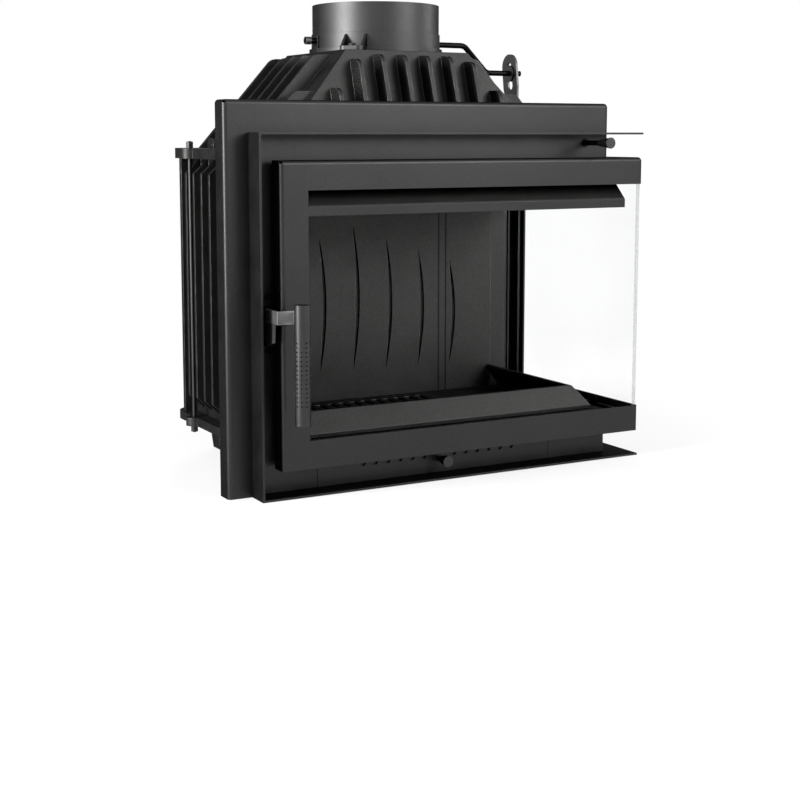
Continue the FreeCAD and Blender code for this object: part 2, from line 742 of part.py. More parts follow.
def air_deflector():
    out = DEFLECTOR_OUT
    top = PANE_TOP - DEFLECTOR_T
    low = PANE_TOP - DEFLECTOR_DROP
    bend = low + DEFLECTOR_LIP
    lean = math.atan2(out - DEFLECTOR_TOP_OUT, PANE_TOP - bend)
    inner_bend = bend - DEFLECTOR_T * math.tan(lean / 2)
    inner_top = DEFLECTOR_TOP_OUT - DEFLECTOR_T * math.tan((math.pi / 2 - lean) / 2)
    profile = [(out, low), (out, bend), (DEFLECTOR_TOP_OUT, PANE_TOP), (-DEFLECTOR_IN, PANE_TOP)]
    profile += [(-DEFLECTOR_IN, top), (inner_top, top), (out - DEFLECTOR_T, inner_bend)]
    profile += [(out - DEFLECTOR_T, low)]
    return corner_run(profile, OPENING_LEFT - DEFLECTOR_END, OPENING_REAR)


# Hood and flue collar
def hood_rect(half, front, rear):
    return (FLUE_X - half, FLUE_X + half, FLUE_SETBACK - front, FLUE_SETBACK + rear)


def grown(rect, margin):
    return (rect[0] - margin, rect[1] + margin, rect[2] - margin, rect[3] + margin)


def hood():
    foot = grown(hood_rect(FIN_SIDE, FIN_FRONT, FIN_REAR), -FIN_DEPTH)
    plateau = hood_rect(PLATEAU_W / 2, PLATEAU_D / 2, PLATEAU_D / 2)
    shell = frustum(foot, plateau, HOOD_FOOT, PLATEAU_Z)
    inside = grown(foot, -HOOD_WALL)
    hollow = frustum(inside, grown(plateau, -HOOD_WALL), HOOD_FOOT, PLATEAU_Z - HOOD_WALL)
    throat = box(*inside, WALL_TOP - 1, HOOD_FOOT)
    flue = rod(FLUE_X, FLUE_SETBACK, PLATEAU_Z - 2 * HOOD_WALL, SPIGOT_R - COLLAR_WALL,
               3 * HOOD_WALL, (0, 0, 1))
    flange = casting_plate(-BASE_FRONT, BASE_FRONT, WALL_TOP, HOOD_FOOT)
    rod_way = box(-PULL_X - PULL_CLEAR, 0, 0, BASE_REAR, HOOD_FOOT, PLATEAU_Z)
    body = join([shell, flange, lift_ear(LIFT_R)] + tie_lugs(WALL_TOP, HOOD_FOOT) + hood_fins())
    holes = [join([hollow, throat]), flue, rod_way] + tie_holes(WALL_TOP, HOOD_FOOT)
    holes.append(lift_ear(LIFT_HOLE_R))
    return body.cut(Part.makeCompound(holes))


def lift_ear(radius):
    x = -WALL_LEFT - SIDE_OVER + LIFT_IN
    return rod(x, BASE_REAR - LIFT_REAR, HOOD_FOOT + LIFT_UP, radius, LIFT_T, (1, 0, 0))


def fin_top(at, foot, plateau, clear):
    lean = (foot - FIN_DEPTH - plateau) / HOOD_H
    over = abs(at) + HOOD_FIN_T / 2 + clear - plateau
    return PLATEAU_Z - max(FIN_STEP, over / lean)


def hood_fin(out, along, at, foot, plateau, shoulder, high):
    def outer(z):
        return foot + (plateau + shoulder - foot) * (z - HOOD_FOOT) / (HOOD_H - FIN_STEP)

    def inner(z):
        face = foot - FIN_DEPTH
        return face + (plateau - face) * (z - HOOD_FOOT) / HOOD_H - HOOD_WALL / 2
    ring = [(inner(HOOD_FOOT), HOOD_FOOT), (outer(HOOD_FOOT), HOOD_FOOT)]
    ring += [(outer(high), high), (inner(high), high)]
    start = Vector(FLUE_X, FLUE_SETBACK, 0) + along * (at - HOOD_FIN_T / 2)
    points = [start + out * reach + Vector(0, 0, z) for reach, z in ring]
    return rounded(prism(points, along * HOOD_FIN_T), SHOULDER_RADIUS,
                   lambda edge: all((vertex.Point - points[2]).cross(along).Length < 1e-4
                                    for vertex in edge.Vertexes))


def hood_fins():
    wide, deep = PLATEAU_W / 2, PLATEAU_D / 2
    fins = []
    for at in spread(FACE_FIN_END - FIN_SIDE, FIN_SIDE - FACE_FIN_END, FACE_HOOD_FINS):
        high = fin_top(at, FIN_SIDE, wide, HIP_CLEAR)
        fins.append(hood_fin(Vector(0, -1, 0), Vector(1, 0, 0), at, FIN_FRONT, deep, SHOULDER_FRONT, high))
        fins.append(hood_fin(Vector(0, 1, 0), Vector(1, 0, 0), at, FIN_REAR, deep, SHOULDER_REAR, high))
    for at in spread(SIDE_FIN_FRONT - FIN_FRONT, FIN_REAR - SIDE_FIN_REAR, SIDE_HOOD_FINS):
        high = fin_top(at, FIN_FRONT if at < 0 else FIN_REAR, deep, SIDE_HIP_CLEAR)
        for sense in (-1, 1):
            out = Vector(sense, 0, 0)
            fins.append(hood_fin(out, Vector(0, 1, 0), at, FIN_SIDE, wide, SHOULDER_SIDE, high))
    return fins


def ear_spots():
    reach = SPIGOT_R + EAR_BOLT
    angles = [math.radians(angle) for angle in EAR_ANGLES]
    return [(FLUE_X + reach * math.cos(a), FLUE_SETBACK + reach * math.sin(a)) for a in angles]


def flue_collar():
    reach = SPIGOT_R + BEARING_OUT
    solids = [rod(FLUE_X, FLUE_SETBACK, PLATEAU_Z, SPIGOT_R, COLLAR_H, (0, 0, 1)),
              rod(FLUE_X, FLUE_SETBACK, PLATEAU_Z, SPIGOT_R + SPIGOT_STEP, COLLAR_H - SPIGOT_L, (0, 0, 1)),
              rod(FLUE_X, FLUE_SETBACK, PLATEAU_Z, SPIGOT_R + RING_W, RING_H, (0, 0, 1)),
              box(FLUE_X - reach, FLUE_X + reach, FLUE_SETBACK - BEARING_W / 2,
                  FLUE_SETBACK + BEARING_W / 2, PLATEAU_Z, SHAFT_Z + BEARING_UP)]
    holes = [rod(FLUE_X, FLUE_SETBACK, PLATEAU_Z - 1, SPIGOT_R - COLLAR_WALL, COLLAR_H + 2, (0, 0, 1)),
             rod(FLUE_X - 2 * SPIGOT_R, FLUE_SETBACK, SHAFT_Z, SHAFT_R + FIT, 4 * SPIGOT_R, (1, 0, 0))]
    for x, y in ear_spots():
        holes.append(rod(x, y, PLATEAU_Z - 1, BOLT_R + BOLT_GAP, RING_H + 2, (0, 0, 1)))
    return join(solids + collar_ears()).cut(Part.makeCompound(holes))


def collar_ears():
    inner = SPIGOT_R - GUSSET_SINK
    outer = SPIGOT_R + EAR_END
    solids = []
    for angle in EAR_ANGLES:
        ear = rounded(box(inner, outer, -EAR_HALF, EAR_HALF, 0, RING_H), EAR_RADIUS,
                      lambda edge: lies_on(edge, X=outer, Y=EAR_HALF) or lies_on(edge, X=outer, Y=-EAR_HALF))
        pieces = [ear]
        for side in (-EAR_HALF, EAR_HALF - GUSSET_T):
            ring = [Vector(inner, side, RING_H), Vector(outer - EAR_RADIUS, side, RING_H),
                    Vector(inner, side, RING_H + GUSSET_H)]
            pieces.append(prism(ring, Vector(0, GUSSET_T, 0)))
        for piece in pieces:
            piece.rotate(Vector(0, 0, 0), Vector(0, 0, 1), angle)
            piece.translate(Vector(FLUE_X, FLUE_SETBACK, PLATEAU_Z))
        solids += pieces
    return solids


def collar_bolts():
    bolts = []
    for x, y in ear_spots():
        head = hexagon(x, y, PLATEAU_Z + RING_H, BOLT_HEAD, BOLT_HEAD_H)
        bolts.append(join([head, rod(x, y, PLATEAU_Z, BOLT_R, RING_H, (0, 0, 1))]))
    return Part.makeCompound(bolts)


# Door frame, glass and seal
def stile_ring(outer, inner, lip):
    face, back = -PROUD, -DOOR_BACK
    sheet = SHEET
    web = outer + sheet
    return [(outer, face), (inner, face), (inner, face + sheet), (web, face + sheet),
            (web, back - sheet), (web + lip, back - sheet), (web + lip, back), (outer, back)]


def door_left_stile():
    ring = stile_ring(-DOOR_LEFT, -PANE_LEFT, DOOR_LIP)
    channel = upright(ring, DOOR_BOTTOM, DOOR_TOP)
    caps = []
    for z in (DOOR_BOTTOM, DOOR_TOP - SHEET):
        caps.append(box(-DOOR_LEFT + SHEET, -PANE_LEFT, -PROUD + SHEET, -DOOR_BACK, z, z + SHEET))
    frame = rounded(join([channel] + caps), FOLD_RADIUS,
                    lambda edge: lies_on(edge, X=-DOOR_LEFT, Y=-PROUD) or lies_on(edge, Y=-PROUD, Z=DOOR_TOP))
    return frame.cut(relief(-DOOR_LEFT, -PROUD, DOOR_TOP, (1, 1, -1)))


def door_rear_stile():
    ring = [(-y, -x) for x, y in stile_ring(-DOOR_REAR, -PANE_REAR, HINGE_STILE_LIP)]
    channel = upright(ring, DOOR_BOTTOM, DOOR_TOP)
    caps = []
    for z in (DOOR_BOTTOM, DOOR_TOP - SHEET):
        caps.append(box(DOOR_BACK, PROUD - SHEET, PANE_REAR, DOOR_REAR - SHEET, z, z + SHEET))
    frame = rounded(join([channel] + caps), FOLD_RADIUS,
                    lambda edge: lies_on(edge, X=PROUD, Y=DOOR_REAR) or lies_on(edge, X=PROUD, Z=DOOR_TOP))
    holes = [rod(HINGE.x, HINGE.y, 0, PIN_R + PIN_CLEAR, FLANGE_TOP, (0, 0, 1)),
             relief(PROUD, DOOR_REAR, DOOR_TOP, (-1, -1, -1))]
    return frame.cut(Part.makeCompound(holes))


def rail_profile(edge, outer, lip):
    step = SHEET if outer > edge else -SHEET
    lip = lip if outer > edge else -lip
    return [(PROUD, edge), (PROUD, outer), (DOOR_BACK, outer), (DOOR_BACK, outer - step - lip),
            (DOOR_BACK + SHEET, outer - step - lip), (DOOR_BACK + SHEET, outer - step),
            (PROUD - SHEET, outer - step), (PROUD - SHEET, edge)]


def door_rail(clear, outer):
    rail = corner_run(rail_profile(clear, outer, DOOR_LIP), PANE_LEFT, PANE_REAR)
    return rounded(rail, FOLD_RADIUS,
                   lambda edge: lies_on(edge, X=PROUD, Y=-PROUD) or lies_on(edge, Y=-PROUD, Z=DOOR_TOP)
                   or lies_on(edge, X=PROUD, Z=DOOR_TOP))


def glass_front():
    outer = PROUD - SHEET
    return box(-PANE_LEFT - GLASS_LAP, outer, -outer, -outer + GLASS_T,
               PANE_BOTTOM - GLASS_LAP, PANE_TOP + GLASS_LAP)


def glass_side():
    outer = PROUD - SHEET
    return box(outer - GLASS_T, outer, -outer + GLASS_T + GLASS_JOINT, PANE_REAR + GLASS_LAP,
               PANE_BOTTOM - GLASS_LAP, PANE_TOP + GLASS_LAP)


def clip_profile(edge, sense):
    outer = PROUD - SHEET
    back = outer - GLASS_T
    foot = edge + sense * (GLASS_LAP + CLIP_GAP)
    heel = foot + sense * CLIP_LAP
    toe = edge + sense * (GLASS_LAP - CLIP_LAP)
    inner = back - CLIP_T
    return [(outer, foot), (outer, heel), (inner, heel), (inner, toe), (back, toe), (back, foot)]


def glass_clips():
    clips = []
    for edge, sense in ((PANE_TOP, 1), (PANE_BOTTOM, -1)):
        profile = clip_profile(edge, sense)
        for share in CLIP_SHARES:
            ring = [Vector(-PANE_LEFT * (1 - share), -out, z) for out, z in profile]
            clips.append(prism(ring, Vector(CLIP_W, 0, 0)))
            ring = [Vector(out, PANE_REAR * share, z) for out, z in profile]
            clips.append(prism(ring, Vector(0, CLIP_W, 0)))
    return Part.makeCompound(clips)


def seal_ring(centre_a, centre_b):
    reach = SEAL_R / math.cos(math.pi / SEAL_SIDES)
    angles = [math.pi * (2 * step + 1) / SEAL_SIDES for step in range(SEAL_SIDES)]
    return [(centre_a + reach * math.cos(a), centre_b + reach * math.sin(a)) for a in angles]


def door_seal():
    middle = DOOR_BACK - SEAL_R
    half_lip = SHEET + DOOR_LIP / 2
    left = DOOR_LEFT - half_lip
    rear = DOOR_REAR - SHEET - HINGE_STILE_LIP + SEAL_R + SEAL_IN
    top = DOOR_TOP - half_lip
    low = DOOR_BOTTOM + half_lip
    solids = [corner_run(seal_ring(middle, z), left, rear) for z in (top, low)]
    solids.append(upright(seal_ring(-left, -middle), low, top))
    solids.append(upright(seal_ring(middle, rear), low, top))
    return join(solids)


# Hinge
def hinge_arms():
    heel = HINGE.y - ARM_EYE - ARM_FOOT
    outer = HINGE.x + ARM_EYE
    plan = [(0, heel), (ARM_TOE, heel), (outer, HINGE.y - ARM_NECK), (outer, HINGE.y + ARM_EYE)]
    plan += [(HINGE.x - ARM_EYE, HINGE.y + ARM_EYE), (0, HINGE.y - ARM_EYE)]
    arms = []
    for z in (ARM_LOW_Z, ARM_TOP_Z):
        bore = rod(HINGE.x, HINGE.y, z - 1, PIN_R + FIT, ARM_T + 2, (0, 0, 1))
        arms.append(upright(plan, z, z + ARM_T).cut(bore))
    return Part.makeCompound(arms)


def hinge_pins():
    reach = SHEET + BUSH_L - PIN_END
    low_top = ARM_LOW_Z + ARM_T
    low = rod(HINGE.x, HINGE.y, ARM_LOW_Z, PIN_R, DOOR_BOTTOM + reach - ARM_LOW_Z, (0, 0, 1))
    thrust = rod(HINGE.x, HINGE.y, low_top, COLLAR_R, DOOR_BOTTOM - RUN_GAP - low_top, (0, 0, 1))
    high_top = ARM_TOP_Z + ARM_T
    high = rod(HINGE.x, HINGE.y, DOOR_TOP - reach, PIN_R, high_top - DOOR_TOP + reach, (0, 0, 1))
    head = rod(HINGE.x, HINGE.y, high_top, COLLAR_R, SHEET, (0, 0, 1))
    return Part.makeCompound([join([low, thrust]), join([high, head])])


def door_hinge_bushes():
    bushes = []
    for z in (DOOR_BOTTOM + SHEET, DOOR_TOP - SHEET - BUSH_L):
        bore = rod(HINGE.x, HINGE.y, z - 1, PIN_R + FIT, BUSH_L + 2, (0, 0, 1))
        bushes.append(rod(HINGE.x, HINGE.y, z, BUSH_R, BUSH_L, (0, 0, 1)).cut(bore))
    return Part.makeCompound(bushes)


# Handle and latch
def handle_pivot():
    bar_right = BAR_X + BAR_T
    spacer_end = bar_right + RUN_GAP
    head_start = BAR_X - RUN_GAP
    spacer = rod(-DOOR_LEFT, PIVOT_Y, PIVOT_Z, SPACER_R, -DOOR_LEFT - spacer_end, (-1, 0, 0))
    shank = rod(-DOOR_LEFT, PIVOT_Y, PIVOT_Z, PIVOT_R, -DOOR_LEFT - head_start, (-1, 0, 0))
    head = rod(head_start, PIVOT_Y, PIVOT_Z, PIVOT_HEAD_R, PIVOT_HEAD_T, (-1, 0, 0))
    return join([spacer, shank, head])


def handle_tube():
    low = TUBE_TOP - TUBE_L + CAP_T
    length = TUBE_L - 2 * CAP_T
    outer = rod(TUBE_X, -TUBE_OUT, low, TUBE_R, length, (0, 0, 1))
    bore = rod(TUBE_X, -TUBE_OUT, low - 1, TUBE_R - TUBE_WALL, length + 2, (0, 0, 1))
    drills = []
    for line in range(HOLE_LINES):
        angle = math.pi * line / HOLE_LINES + math.radians(HOLE_TURN)
        axis = (math.cos(angle), math.sin(angle), 0)
        start_x = TUBE_X - 2 * TUBE_R * axis[0]
        start_y = -TUBE_OUT - 2 * TUBE_R * axis[1]
        for index in range(HOLES):
            z = TUBE_TOP - HOLE_START - HOLE_PITCH * index
            drills.append(rod(start_x, start_y, z, HOLE_R, 4 * TUBE_R, axis))
    return outer.cut(bore).cut(Part.makeCompound(drills))


def handle_caps():
    top = rod(TUBE_X, -TUBE_OUT, TUBE_TOP - CAP_T, TUBE_R, CAP_T, (0, 0, 1))
    low = rod(TUBE_X, -TUBE_OUT, TUBE_TOP - TUBE_L, TUBE_R, CAP_T, (0, 0, 1))
    return Part.makeCompound([top, low])


def handle_bracket():
    z0 = PIVOT_Z - BAR_H / 2
    z1 = PIVOT_Z + BAR_H / 2
    front = -BAR_FRONT - BAR_T
    neck = TUBE_X + NECK_IN
    side_leg = box(BAR_X, BAR_X + BAR_T, front, PIVOT_Y + BAR_TAIL, z0, z1)
    front_leg = box(BAR_X, neck + BAR_T, front, -BAR_FRONT, z0, z1)
    last_leg = box(neck, neck + BAR_T, -TUBE_OUT, -BAR_FRONT, z0, z1)
    tube = rod(TUBE_X, -TUBE_OUT, z0 - BAR_H, TUBE_R + FIT, 3 * BAR_H, (0, 0, 1))
    bore = rod(BAR_X - 1, PIVOT_Y, PIVOT_Z, PIVOT_R + FIT, BAR_T + 2, (1, 0, 0))
    return join([side_leg, front_leg, last_leg]).cut(tube).cut(bore)


def latch_hook():
    wall = -STRIKE_OUT - STRIKE_PIN_R - LATCH_GAP
    floor = PIVOT_Z - STRIKE_DROP - STRIKE_PIN_R - LATCH_GAP
    top = PIVOT_Z - BAR_H / 2
    heel = PIVOT_Y - HOOK_HEEL
    tip = -SHEET - HOOK_GAP
    lead = wall - HOOK_LEAD
    ring = [(heel, top), (lead, top), (wall, top - HOOK_RISE), (wall, floor), (tip, floor)]
    ring += [(tip, floor - HOOK_TIP), (lead, floor - HOOK_BELLY), (heel + HOOK_WAIST, floor)]
    ring += [(heel + HOOK_WAIST / 2, (top + floor) / 2)]
    return prism([Vector(BAR_X, y, z) for y, z in ring], Vector(BAR_T, 0, 0))


def latch_strike():
    left = -FACE_W + SHEET + STRIKE_EDGE
    pin_z = PIVOT_Z - STRIKE_DROP
    low = pin_z - STRIKE_BELOW
    half = CHEEK_H / 2
    cheek_right = BAR_X - CHEEK_GAP
    plate = box(left, left + STRIKE_W, -SHEET, 0, low, low + STRIKE_H)
    cheek = box(left, cheek_right, -STRIKE_OUT - 2 * STRIKE_PIN_R, -SHEET, pin_z - half, pin_z + half)
    pin = rod(cheek_right, -STRIKE_OUT, pin_z, STRIKE_PIN_R, CHEEK_GAP + BAR_T + LATCH_GAP, (1, 0, 0))
    return join([plate, cheek, pin])


def strike_bolts():
    x = -FACE_W + SHEET + STRIKE_EDGE + STRIKE_W - STRIKE_BOLT_IN
    low = PIVOT_Z - STRIKE_DROP - STRIKE_BELOW
    high = low + STRIKE_H
    bolts = [rod(x, -SHEET, high - STRIKE_BOLT_END, STRIKE_SCREW_R, STRIKE_BOLT_H, (0, -1, 0))]
    for z in (low - STRIKE_BOLT_END, high + STRIKE_BOLT_END):
        bolts.append(rod(x, 0, z, STRIKE_BOLT_R, STRIKE_BOLT_H, (0, -1, 0)))
    return Part.makeCompound(bolts)


# Flue damper and its pull rod
def rod_guide():
    tube = rod(-PULL_X, 0, PULL_Z, GUIDE_R, GUIDE_L, (0, 1, 0))
    collar = rod(-PULL_X, SHEET, PULL_Z, GUIDE_R + GUIDE_RIM, GUIDE_COLLAR, (0, 1, 0))
    bore = rod(-PULL_X, -GUIDE_L, PULL_Z, PULL_R + FIT, 3 * GUIDE_L, (0, 1, 0))
    return join([tube, collar]).cut(bore)


def cone_knob(x, out, z, length):
    return Part.makeCone(KNOB_R, KNOB_NECK_R, length, Vector(x, -out, z), Vector(0, 1, 0))


def damper_knob():
    return cone_knob(-PULL_X, KNOB_OUT, PULL_Z, KNOB_L)


def damper_rod():
    start = -KNOB_OUT + KNOB_L
    end_block = box(-PULL_X - PULL_R, LEVER_X,
                    LEVER_FOOT_Y - END_BLOCK, LEVER_FOOT_Y + END_BLOCK,
                    PULL_Z - LEVER_FOOT_R, PULL_Z + LEVER_FOOT_R)
    shank = rod(-PULL_X, start, PULL_Z, PULL_R, LEVER_FOOT_Y - start, (0, 1, 0))
    return join([shank, end_block]).cut(lever_hole())


def lever_hole():
    return rod(-2 * PULL_X, LEVER_FOOT_Y, PULL_Z, LEVER_BOLT_R + LEVER_BOLT_GAP, 2 * PULL_X, (1, 0, 0))


def lever_point(along, across):
    scale = math.hypot(LEVER_LEAN, 1.0)
    back, up = LEVER_LEAN / scale, 1.0 / scale
    y = LEVER_FOOT_Y + along * back + across * up
    return Vector(LEVER_X, y, PULL_Z + along * up - across * back)


def lever_bar(start, end, half_start, half_end):
    ring = [lever_point(start, -half_start), lever_point(start, half_start)]
    ring += [lever_point(end, half_end), lever_point(end, -half_end)]
    solids = [prism(ring, Vector(LEVER_T, 0, 0))]
    for along, radius in ((start, half_start), (end, half_end)):
        solids.append(Part.makeCylinder(radius, LEVER_T, lever_point(along, 0), Vector(1, 0, 0)))
    return join(solids)


def damper_lever():
    pin = (CRANK_PIN.z - PULL_Z) * math.hypot(LEVER_LEAN, 1.0)
    slot_low = pin - SLOT_BELOW + SLOT_R
    slot_high = pin + SLOT_ABOVE - SLOT_R
    plate = join([lever_bar(0, slot_low, LEVER_FOOT_R, LEVER_R),
                  lever_bar(slot_low, slot_high, LEVER_R, LEVER_R)])
    slot = lever_bar(slot_low, slot_high, SLOT_R, SLOT_R)
    return plate.cut(slot).cut(lever_hole())


def lever_bolt():
    start = -PULL_X - PULL_R
    end = LEVER_X + LEVER_T
    head = rod(start, LEVER_FOOT_Y, PULL_Z, LEVER_BOLT_HEAD, LEVER_BOLT_R, (-1, 0, 0))
    shank = rod(start, LEVER_FOOT_Y, PULL_Z, LEVER_BOLT_R, end - start, (1, 0, 0))
    nut = rod(end, LEVER_FOOT_Y, PULL_Z, LEVER_BOLT_HEAD, LEVER_BOLT_R, (1, 0, 0))
    return join([head, shank, nut])


def damper_plate():
    reach = SPIGOT_R - COLLAR_WALL - DAMPER_CLEAR
    disc = rod(FLUE_X, FLUE_SETBACK, SHAFT_Z - DAMPER_T / 2, reach, DAMPER_T, (0, 0, 1))
    half = reach - DAMPER_RIB_END
    rib = box(FLUE_X - half, FLUE_X + half,
              FLUE_SETBACK - DAMPER_RIB_W / 2, FLUE_SETBACK + DAMPER_RIB_W / 2,
              SHAFT_Z - DAMPER_RIB_H / 2, SHAFT_Z + DAMPER_RIB_H / 2)
    bore = rod(FLUE_X - 2 * reach, FLUE_SETBACK, SHAFT_Z, SHAFT_R + FIT, 4 * reach, (1, 0, 0))
    return join([disc, rib]).cut(bore)


def bent_rod(stops, radius, bend):
    edges = []
    here = stops[0]
    for before, corner, after in zip(stops, stops[1:], stops[2:]):
        into = (corner - before).normalize()
        out = (after - corner).normalize()
        turn = into.getAngle(out)
        tangent = bend * math.tan(turn / 2)
        start = corner - into * tangent
        end = corner + out * tangent
        inward = (out - into).normalize()
        middle = corner + inward * (bend / math.cos(turn / 2) - bend)
        edges.append(Part.LineSegment(here, start).toShape())
        edges.append(Part.Arc(start, middle, end).toShape())
        here = end
    edges.append(Part.LineSegment(here, stops[-1]).toShape())
    section = Part.Wire([Part.makeCircle(radius, stops[0], stops[1] - stops[0])])
    return Part.Wire(edges).makePipeShell([section], True, False)


def damper_shaft():
    knee = Vector(LEVER_X - CRANK_STRAIGHT, CRANK_PIN.y, CRANK_PIN.z)
    bend = Vector(knee.x - CRANK_RUN, FLUE_SETBACK, SHAFT_Z)
    start = Vector(FLUE_X - SPIGOT_R - STUB, FLUE_SETBACK, SHAFT_Z)
    end = Vector(LEVER_X + LEVER_T + CRANK_TAIL, CRANK_PIN.y, CRANK_PIN.z)
    return bent_rod([start, bend, knee, end], SHAFT_R, CRANK_BEND)


def washer(x, y, z, radius, thick):
    bore = rod(x - 1, y, z, SHAFT_R + FIT, thick + 2, (1, 0, 0))
    return rod(x, y, z, radius, thick, (1, 0, 0)).cut(bore)


def damper_washers():
    y, z = CRANK_PIN.y, CRANK_PIN.z
    stub_x = FLUE_X - SPIGOT_R - STUB
    rings = [washer(LEVER_X - RUN_GAP - WASHER_T, y, z, WASHER_R, WASHER_T),
             washer(LEVER_X + LEVER_T + RUN_GAP, y, z, WASHER_R, WASHER_T),
             washer(stub_x, FLUE_SETBACK, SHAFT_Z, STUB_RING_R, STUB_RING_T)]
    return Part.makeCompound(rings)


# Air register
def register_slide():
    last = SLOT_FIRST + SLOT_PITCH * (SLOTS_PER_SIDE - 1)
    half = last + SLOT_W / 2 + REGISTER_EDGE + REGISTER_TRAVEL
    y0 = SHEET + RUN_GAP
    plate = box(FLUE_X - half, FLUE_X + half, y0, y0 + REGISTER_T,
                SLOT_Z - REGISTER_EDGE, SLOT_Z + SLOT_H + REGISTER_EDGE)
    slots = Part.makeCompound(air_slots(y0 - 1, y0 + REGISTER_T + 1))
    slots.translate(Vector(-REGISTER_TRAVEL, 0, 0))
    return plate.cut(slots)


def register_guides():
    half = SLOT_FIRST + SLOT_PITCH * SLOTS_PER_SIDE + 2 * REGISTER_TRAVEL
    back = SHEET + RUN_GAP + REGISTER_T + RUN_GAP
    bars = []
    for edge, sense in ((SLOT_Z - REGISTER_EDGE, -1), (SLOT_Z + SLOT_H + REGISTER_EDGE, 1)):
        near = edge + sense * RUN_GAP
        far = near + sense * GUIDE_H
        lip = edge - sense * GUIDE_LAP
        outer = SHEET + GUIDE_T
        ring = [(SHEET, near), (SHEET, far), (outer, far), (outer, lip), (back, lip), (back, near)]
        bars.append(prism([Vector(FLUE_X - half, y, z) for y, z in ring], Vector(2 * half, 0, 0)))
    return Part.makeCompound(bars)


def register_knob():
    knob = cone_knob(FLUE_X, AIR_KNOB_OUT, AIR_KNOB_Z, AIR_KNOB_OUT - AIR_STEM_L)
    stem = rod(FLUE_X, -AIR_STEM_L, AIR_KNOB_Z, AIR_STEM_R, AIR_STEM_L + SHEET + RUN_GAP, (0, 1, 0))
    return join([knob, stem])


NODES = {
    "flange_left": flange_left,
    "flange_top": flange_top,
    "flange_rear": flange_rear,
    "top_shelf": lambda: shelf(SHELF_UNDER),
    "bottom_shelf": lambda: shelf(0),
    "left_side_plate": left_side_plate,
    "rear_side_plate": rear_side_plate,
    "air_panel": air_panel,
    "lower_corner_panel": lower_corner_panel,
    "base_casting": base_casting,
    "feet": feet,
    "rear_wall": rear_wall,
    "left_wall": left_wall,
    "front_left_post": front_left_post,
    "rear_right_post": rear_right_post,
    "lintel": lintel,
    "tie_rods": tie_rods,
    "tie_rod_nuts": tie_rod_nuts,
    "rear_lining": rear_lining,
    "left_lining": left_lining,
    "smoke_baffle": smoke_baffle,
    "baffle_hangers": baffle_hangers,
    "grate": grate,
    "ash_box": ash_box,
    "ash_pan": ash_pan,
    "log_retainer": log_retainer,
    "air_deflector": air_deflector,
    "hood": hood,
    "flue_collar": flue_collar,
    "collar_bolts": collar_bolts,
    "door_left_stile": door_left_stile,
    "door_rear_stile": door_rear_stile,
    "door_top_rail": lambda: door_rail(PANE_TOP, DOOR_TOP),
    "door_bottom_rail": lambda: door_rail(PANE_BOTTOM, DOOR_BOTTOM),
    "glass_front": glass_front,
    "glass_side": glass_side,
    "glass_clips": glass_clips,
    "door_seal": door_seal,
    "hinge_arms": hinge_arms,
    "hinge_pins": hinge_pins,
    "door_hinge_bushes": door_hinge_bushes,
    "handle_pivot": handle_pivot,
    "handle_tube": handle_tube,
    "handle_caps": handle_caps,
    "handle_bracket": handle_bracket,
    "latch_hook": latch_hook,
    "latch_strike": latch_strike,
    "strike_bolts": strike_bolts,
    "rod_guide": rod_guide,
    "damper_knob": damper_knob,
    "damper_rod": damper_rod,
    "damper_lever": damper_lever,
    "lever_bolt": lever_bolt,
    "damper_plate": damper_plate,
    "damper_shaft": damper_shaft,
    "damper_washers": damper_washers,
    "register_slide": register_slide,
    "register_guides": register_guides,
    "register_knob": register_knob,
}


def main():
    os.makedirs("parts", exist_ok=True)
    for name, make in NODES.items():
        shape = make()
        shape.translate(ORIGIN * -1)
        shape.exportStep("parts/" + name + ".step")


main()
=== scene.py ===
# Looks of the corner fireplace insert: finishes, rope seal, studio and camera, in metres.
import json
import math

import bpy
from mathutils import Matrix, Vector


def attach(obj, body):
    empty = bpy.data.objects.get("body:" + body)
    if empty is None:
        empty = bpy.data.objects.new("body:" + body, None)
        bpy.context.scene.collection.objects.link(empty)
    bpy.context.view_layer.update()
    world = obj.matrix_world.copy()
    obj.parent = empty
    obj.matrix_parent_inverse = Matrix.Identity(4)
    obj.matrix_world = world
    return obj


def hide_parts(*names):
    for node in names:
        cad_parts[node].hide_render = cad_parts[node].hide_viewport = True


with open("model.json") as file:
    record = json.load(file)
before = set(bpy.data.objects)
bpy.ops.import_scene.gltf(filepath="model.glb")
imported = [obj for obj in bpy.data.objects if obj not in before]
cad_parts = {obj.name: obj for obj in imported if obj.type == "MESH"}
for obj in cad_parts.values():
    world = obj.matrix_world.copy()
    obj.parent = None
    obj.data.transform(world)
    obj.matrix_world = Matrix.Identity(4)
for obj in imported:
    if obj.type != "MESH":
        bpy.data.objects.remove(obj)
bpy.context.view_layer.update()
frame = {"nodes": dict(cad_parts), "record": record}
nodes = frame["nodes"]

# Colours
PAINT = (0.044, 0.044, 0.044, 1)
PAINT_DARK = (0.034, 0.034, 0.034, 1)
# lighter edge colour of the paint: partly wear, partly a painted highlight along edges
PAINT_WORN_AND_SHEEN = (0.085, 0.085, 0.085, 1)
IRON = (0.050, 0.0495, 0.049, 1)
IRON_DARK = (0.037, 0.0365, 0.036, 1)
# lighter edge colour of the iron: partly wear, partly a painted highlight on edges that catch the left lamp
IRON_WORN_AND_SHEEN = (0.150, 0.149, 0.148, 1)
BLACK = (0.016, 0.016, 0.017, 1)
BLACK_DARK = (0.009, 0.009, 0.010, 1)
BLACK_WORN = (0.060, 0.060, 0.061, 1)
HANDLE = (0.055, 0.055, 0.056, 1)
HANDLE_DARK = (0.042, 0.042, 0.043, 1)
HANDLE_WORN = (0.160, 0.160, 0.160, 1)
